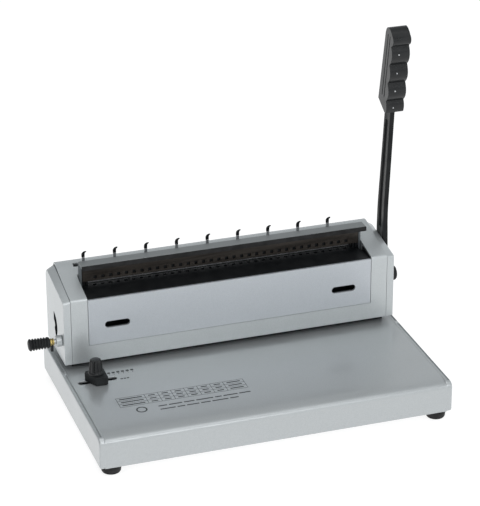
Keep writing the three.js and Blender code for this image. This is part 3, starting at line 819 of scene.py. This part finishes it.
def add_grip_groove(shape, across, centre, s):
    """A long narrow groove in one side of the grip."""
    corners = [(across - 0.7, 12), (across + 0.7, 12), (across + 0.5, 84), (across - 0.9, 84)]
    low, high = sorted((
        centre + s * (GRIP_HALF - GRIP_GROOVE_DEPTH),
        centre + s * (GRIP_HALF + 1),
    ))
    add_prism(shape, [grip_place(p) for p in corners], low, high, "x")


def make_grip_stud(number, point, centre):
    y, z = grip_place(point)
    stud = bmesh.new()
    add_lathe(stud, GRIP_STUD_PROFILE, (0, 0, 0), "z", 16)
    tilt = Matrix.Rotation(math.radians(GRIP_STUD_TILT), 4, "X")
    place = Matrix.Translation((centre + GRIP_STUD_SIDE, y, z))
    bmesh.ops.transform(stud, verts=stud.verts, matrix=place @ tilt)
    add_trim(to_object(f"grip_stud_{number}", stud), "steel", "lever")


def make_grip():
    """The hand grip, with grooves in both sides and a small stud in each pad."""
    centre = box_mid("lever_grip").x
    shape = bmesh.new()
    outline = [grip_place(p) for p in grip_outline()]
    add_prism(shape, outline, centre - GRIP_HALF, centre + GRIP_HALF, "x")
    made = to_object("lever_grip_fine", shape)
    grooves = bmesh.new()
    for across in GRIP_GROOVES:
        for _, s in SIDES:
            add_grip_groove(grooves, across, centre, s)
    subtract(made, to_object("groove_tool", grooves))
    soften(made, 3.3, 5, 50)
    finish_piece(made, "lever_grip", "knob_plastic")
    for i, point in enumerate(GRIP_STUDS):
        make_grip_stud(i + 1, point, centre)


HUB_RADIUS = 11.5
HUB_BORE = 5.3
HUB_EDGE = 1  # chamfer of the outer edge
CAP_DOME = (
    (0, 0.2), (8.4, 0.2), (8.4, 3), (8, 4.2), (7, 5.1), (5, 5.8), (2.5, 6.1), (0, 6.2),
)


def make_hub():
    low, high = node_box("lever_hub")
    middle = box_mid("lever_hub")
    width = high.x - low.x
    profile = [
        (HUB_BORE, 0), (HUB_RADIUS, 0), (HUB_RADIUS, width - HUB_EDGE),
        (HUB_RADIUS - HUB_EDGE, width), (HUB_BORE, width), (HUB_BORE, 0),
    ]
    shape = bmesh.new()
    add_lathe(shape, profile, (low.x, middle.y, middle.z), "x")
    made = to_object("lever_hub_fine", shape)
    soften(made, 0.3, 2)
    finish_piece(made, "lever_hub")
    cap = bmesh.new()
    add_lathe(cap, CAP_DOME, (node_box("hub_cap")[0].x, middle.y, middle.z), "x")
    made = to_object("hub_cap_fine", cap, 50)
    soften(made, 0.25, 2)
    finish_piece(made, "hub_cap")


# ---- Margin pull -----------------------------------------------------------------------

GRIP_RIBS = 7
RIB_TOP = 6.5
RIB_TAPER = 0.08  # each rib is this much lower than the one before
RIB_DEPTH = 1.3
COLLAR_PROFILE = (
    (0, 0), (3.9, 0), (3.9, 2.2), (3.3, 2.3), (3.3, 2.8), (3.9, 2.9), (3.9, 4.3), (0, 4.3),
)
COLLAR_SIDES = 6
BOSS_HALF = 5.5
BOSS_ROUND = 4
BOSS_BORE = 2.9


def make_margin_grip():
    """A ribbed black knob that tapers towards the machine."""
    low, high = node_box("margin_grip")
    middle = box_mid("margin_grip")
    length = high.x - low.x
    pitch = (length - 1.4) / GRIP_RIBS
    profile = [(0, 0), (4.8, 0), (5.9, 0.7)]
    for i in range(GRIP_RIBS):
        start = 0.7 + i * pitch
        top = RIB_TOP - RIB_TAPER * i
        profile += [(top, start + 0.25 * pitch), (top, start + 0.55 * pitch)]
        if i < GRIP_RIBS - 1:
            valley = top - RIB_DEPTH
            profile += [(valley, start + 0.8 * pitch), (valley, start + pitch)]
    profile += [(5.4, length - 0.3), (4.4, length), (0, length)]
    shape = bmesh.new()
    add_lathe(shape, profile, (low.x, middle.y, middle.z), "x")
    made = to_object("margin_grip_fine", shape)
    soften(made, 0.25, 2)
    finish_piece(made, "margin_grip")


def make_margin_collar():
    """A six-sided brass collar with a groove, and a small black tab that hangs under it."""
    low = node_box("margin_collar")[0]
    middle = box_mid("margin_grip")
    shape = bmesh.new()
    add_lathe(shape, COLLAR_PROFILE, (low.x, middle.y, middle.z), "x", COLLAR_SIDES)
    made = to_object("margin_collar_fine", shape)
    soften(made, 0.25, 2)
    finish_piece(made, "margin_collar")
    tab = bmesh.new()
    tab_low = (low.x + 0.6, middle.y - 2.2, middle.z - 10.4)
    tab_high = (low.x + 3.4, middle.y + 2.2, middle.z - 3)
    add_box(tab, tab_low, tab_high)
    made = to_object("collar_tab", tab)
    soften(made, 0.4, 2)
    add_trim(made, "black_plastic", "margin_pull")


def make_margin_boss():
    """A rounded square boss that the rod slides through."""
    low, high = node_box("margin_boss")
    middle = box_mid("margin_grip")
    y0, y1 = middle.y - BOSS_HALF, middle.y + BOSS_HALF
    z0, z1 = middle.z - BOSS_HALF, middle.z + BOSS_HALF
    square = fillet([(y, z, BOSS_ROUND) for y, z in ((y0, z0), (y1, z0), (y1, z1), (y0, z1))])
    shape = bmesh.new()
    add_prism(shape, square, low.x + 1.4, high.x, "x")
    made = to_object("margin_boss_fine", shape)
    bore = bmesh.new()
    bore_profile = [(0, 0), (BOSS_BORE, 0), (BOSS_BORE, 12), (0, 12)]
    add_lathe(bore, bore_profile, (low.x, middle.y, middle.z), "x", 32)
    subtract(made, to_object("bore_tool", bore))
    soften(made, 1.6, 4)
    finish_piece(made, "margin_boss")


# ---- Size slider -----------------------------------------------------------------------

KNOB_FLUTES = 9
KNOB_RINGS = (  # height, radius, flute depth
    (0, 8.2, 0), (1.2, 8.2, 0), (2.2, 7.6, 0), (3.0, 7.4, 1.3), (13.6, 6.5, 1.6),
    (14.5, 6.1, 1.3), (15.2, 5.4, 0.5), (15.6, 4.6, 0), (15.65, 0.5, 0),
)


def add_fluted(shape, rings, flutes, place, sides=120):
    """Rings of (height, radius, flute depth), closed at both ends."""
    loops = []
    for height, radius, depth in rings:
        loop = []
        for k in range(sides):
            angle = 2 * math.pi * k / sides
            wave = 1 - abs(math.sin(flutes * angle / 2))
            r = radius - depth * wave
            point = Vector((r * math.cos(angle), r * math.sin(angle), height))
            loop.append(shape.verts.new(point + Vector(place)))
        loops.append(loop)
    for one, two in zip(loops, loops[1:]):
        for k in range(sides):
            m = (k + 1) % sides
            shape.faces.new((one[k], one[m], two[m], two[k]))
    shape.faces.new(loops[0][::-1])
    shape.faces.new(loops[-1])


def make_size_knob():
    foot = node_box("size_knob")[0].z
    middle = box_mid("size_knob")
    shape = bmesh.new()
    add_fluted(shape, KNOB_RINGS, KNOB_FLUTES, (middle.x, middle.y, foot))
    finish_piece(to_object("size_knob_fine", shape, 40), "size_knob", "knob_plastic")


# ---- Printed marks ---------------------------------------------------------------------

PRINT_HEIGHT = 0.06
PRINT_SUNK = 0.02  # how far the ink reaches below the painted top
SCALE_START = -143.5
SCALE_PITCH = 5
SCALE_MARKS = 6
CAPTION_START = -133.5  # three bars in front of the scale
CAPTION_PITCH = 3.4
TABLE_X = (-150.2, -120.2, -106, -92, -78, -64, -50, -36, -14.5)
TABLE_Y = (-55.5, -49, -42.5, -36)
RULE = 0.45
BAR_HALF = 0.9
NOTE_START = -113
NOTE_GAP = 2
NOTE_LINES = ((-64.5, (9, 14, 11, 18, 7, 15, 12)), (-71.5, (16, 8, 13, 10, 17, 9)))
RING_PLACE = (-131, -66)
RING_RADII = (4.2, 5.8)


def add_bar(shape, x0, x1, y0, y1):
    top = node_box("base_pan")[1].z
    add_box(shape, (x0, y0, top - PRINT_SUNK), (x1, y1, top + PRINT_HEIGHT))


def finish_print(name, shape):
    add_trim(to_object(name, shape), "print_ink", "machine")


def make_scale_print():
    """A row of short marks behind the slot of the size slider, with ticks under them."""
    shape = bmesh.new()
    for i in range(SCALE_MARKS):
        x = SCALE_START + SCALE_PITCH * i
        add_bar(shape, x, x + 3.2, 18.6, 21.8)
        add_bar(shape, x + 1.3, x + 1.9, 15.4, 17.6)
    for i in range(3):
        x = CAPTION_START + CAPTION_PITCH * i
        add_bar(shape, x, x + 2.5, 3.2, 5.2)
    finish_print("scale_print", shape)


def add_table_rules(shape):
    for y in TABLE_Y:
        add_bar(shape, TABLE_X[0], TABLE_X[-1], y - RULE / 2, y + RULE / 2)
    for x in TABLE_X:
        add_bar(shape, x - RULE / 2, x + RULE / 2, TABLE_Y[0], TABLE_Y[-1])


def add_table_cells(shape):
    for low, high in zip(TABLE_Y, TABLE_Y[1:]):
        middle = (low + high) / 2
        for i, (left, right) in enumerate(zip(TABLE_X, TABLE_X[1:])):
            inset = 3 if i == 0 else 3.6
            add_bar(shape, left + inset, right - inset, middle - BAR_HALF, middle + BAR_HALF)


def add_note_lines(shape):
    for y, lengths in NOTE_LINES:
        x = NOTE_START
        for length in lengths:
            add_bar(shape, x, x + length, y - BAR_HALF, y + BAR_HALF)
            x += length + NOTE_GAP


def make_table_print():
    """A ruled table with a short bar in each cell, and two lines of bars in front of it."""
    shape = bmesh.new()
    add_table_rules(shape)
    add_table_cells(shape)
    add_note_lines(shape)
    finish_print("table_print", shape)


def make_ring_print():
    top = node_box("base_pan")[1].z
    inner, outer = RING_RADII
    low, high = -PRINT_SUNK, PRINT_HEIGHT
    profile = [(inner, low), (outer, low), (outer, high), (inner, high), (inner, low)]
    shape = bmesh.new()
    add_lathe(shape, profile, (*RING_PLACE, top), "z")
    finish_print("ring_print", shape)


# ---- Assembly --------------------------------------------------------------------------

make_camera()
make_studio()
paint_cad_nodes()
for node_name, edge_mm in REFINED_EDGES_MM.items():
    refined(node_name, edge_mm)
make_pan()
make_feet()
make_drawer_and_arms()
make_slot_shade()
make_rear_screws()
make_hooks()
make_lever_bar()
make_grip()
make_hub()
make_margin_grip()
make_margin_collar()
make_margin_boss()
make_size_knob()
make_scale_print()
make_table_print()
make_ring_print()
